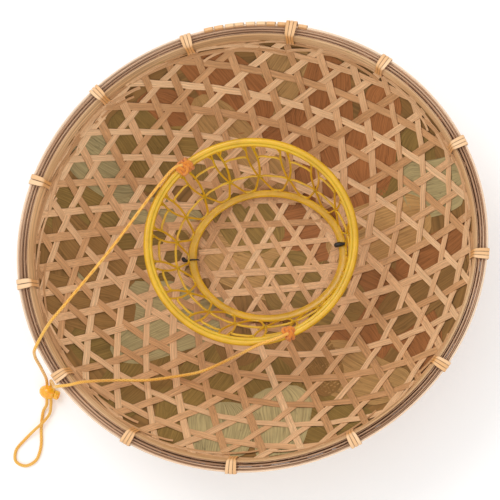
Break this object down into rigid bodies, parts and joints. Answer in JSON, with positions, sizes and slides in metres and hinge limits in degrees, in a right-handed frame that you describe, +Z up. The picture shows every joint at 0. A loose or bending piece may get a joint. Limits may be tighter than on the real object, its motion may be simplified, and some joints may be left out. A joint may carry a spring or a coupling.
{
  "type": "woven bamboo hat",
  "caption": "Wide bowl-shaped bamboo hat lying crown down: two open hexagonal weaves over a leaf lining, bound rim, pierced plastic head ring and chin cord with sliding lock",
  "frame": {"origin": "middle of the flat of the crown that the hat rests on", "axes": "+Z points up out of the hollow, +X and +Y to the right and to the top of the picture"},
  "size_m": [0.4343, 0.3847, 0.1311],
  "materials": {
    "bamboo_weave": "split bamboo, dry and satin",
    "dried_leaf": "dried leaf, matte with veins",
    "bamboo_hoop": "split bamboo, satin",
    "bamboo_core": "brown bamboo skin, matte",
    "rattan": "peeled rattan, satin",
    "amber_plastic": "moulded, slightly translucent, glossy",
    "orange_cord": "braided cord",
    "lock_plastic": "moulded, glossy",
    "black_wire": "black coated wire"
  },
  "bodies": {
    "root": {"outer_weave": "bamboo_weave", "leaf_lining": "dried_leaf", "inner_weave": "bamboo_weave", "outer_hoop": "bamboo_hoop", "core_strip_outer": "bamboo_core", "core_strip_inner": "bamboo_core", "inner_hoop": "bamboo_hoop", "splice_wrap": "rattan", "rim_binding_01": "rattan", "rim_binding_02": "rattan", "rim_binding_03": "rattan", "rim_binding_04": "rattan", "rim_binding_05": "rattan", "rim_binding_06": "rattan", "rim_binding_07": "rattan", "rim_binding_08": "rattan", "rim_binding_09": "rattan", "rim_binding_10": "rattan", "rim_binding_11": "rattan", "rim_binding_12": "rattan", "rim_binding_13": "rattan", "head_ring": "amber_plastic", "cord_knot_left": "orange_cord", "cord_knot_right": "orange_cord", "chin_cord": "orange_cord", "cord_lock_body": "lock_plastic", "cord_lock_button": "lock_plastic", "tie_left": "black_wire", "tie_right": "black_wire"}
  },
  "joints": []
}
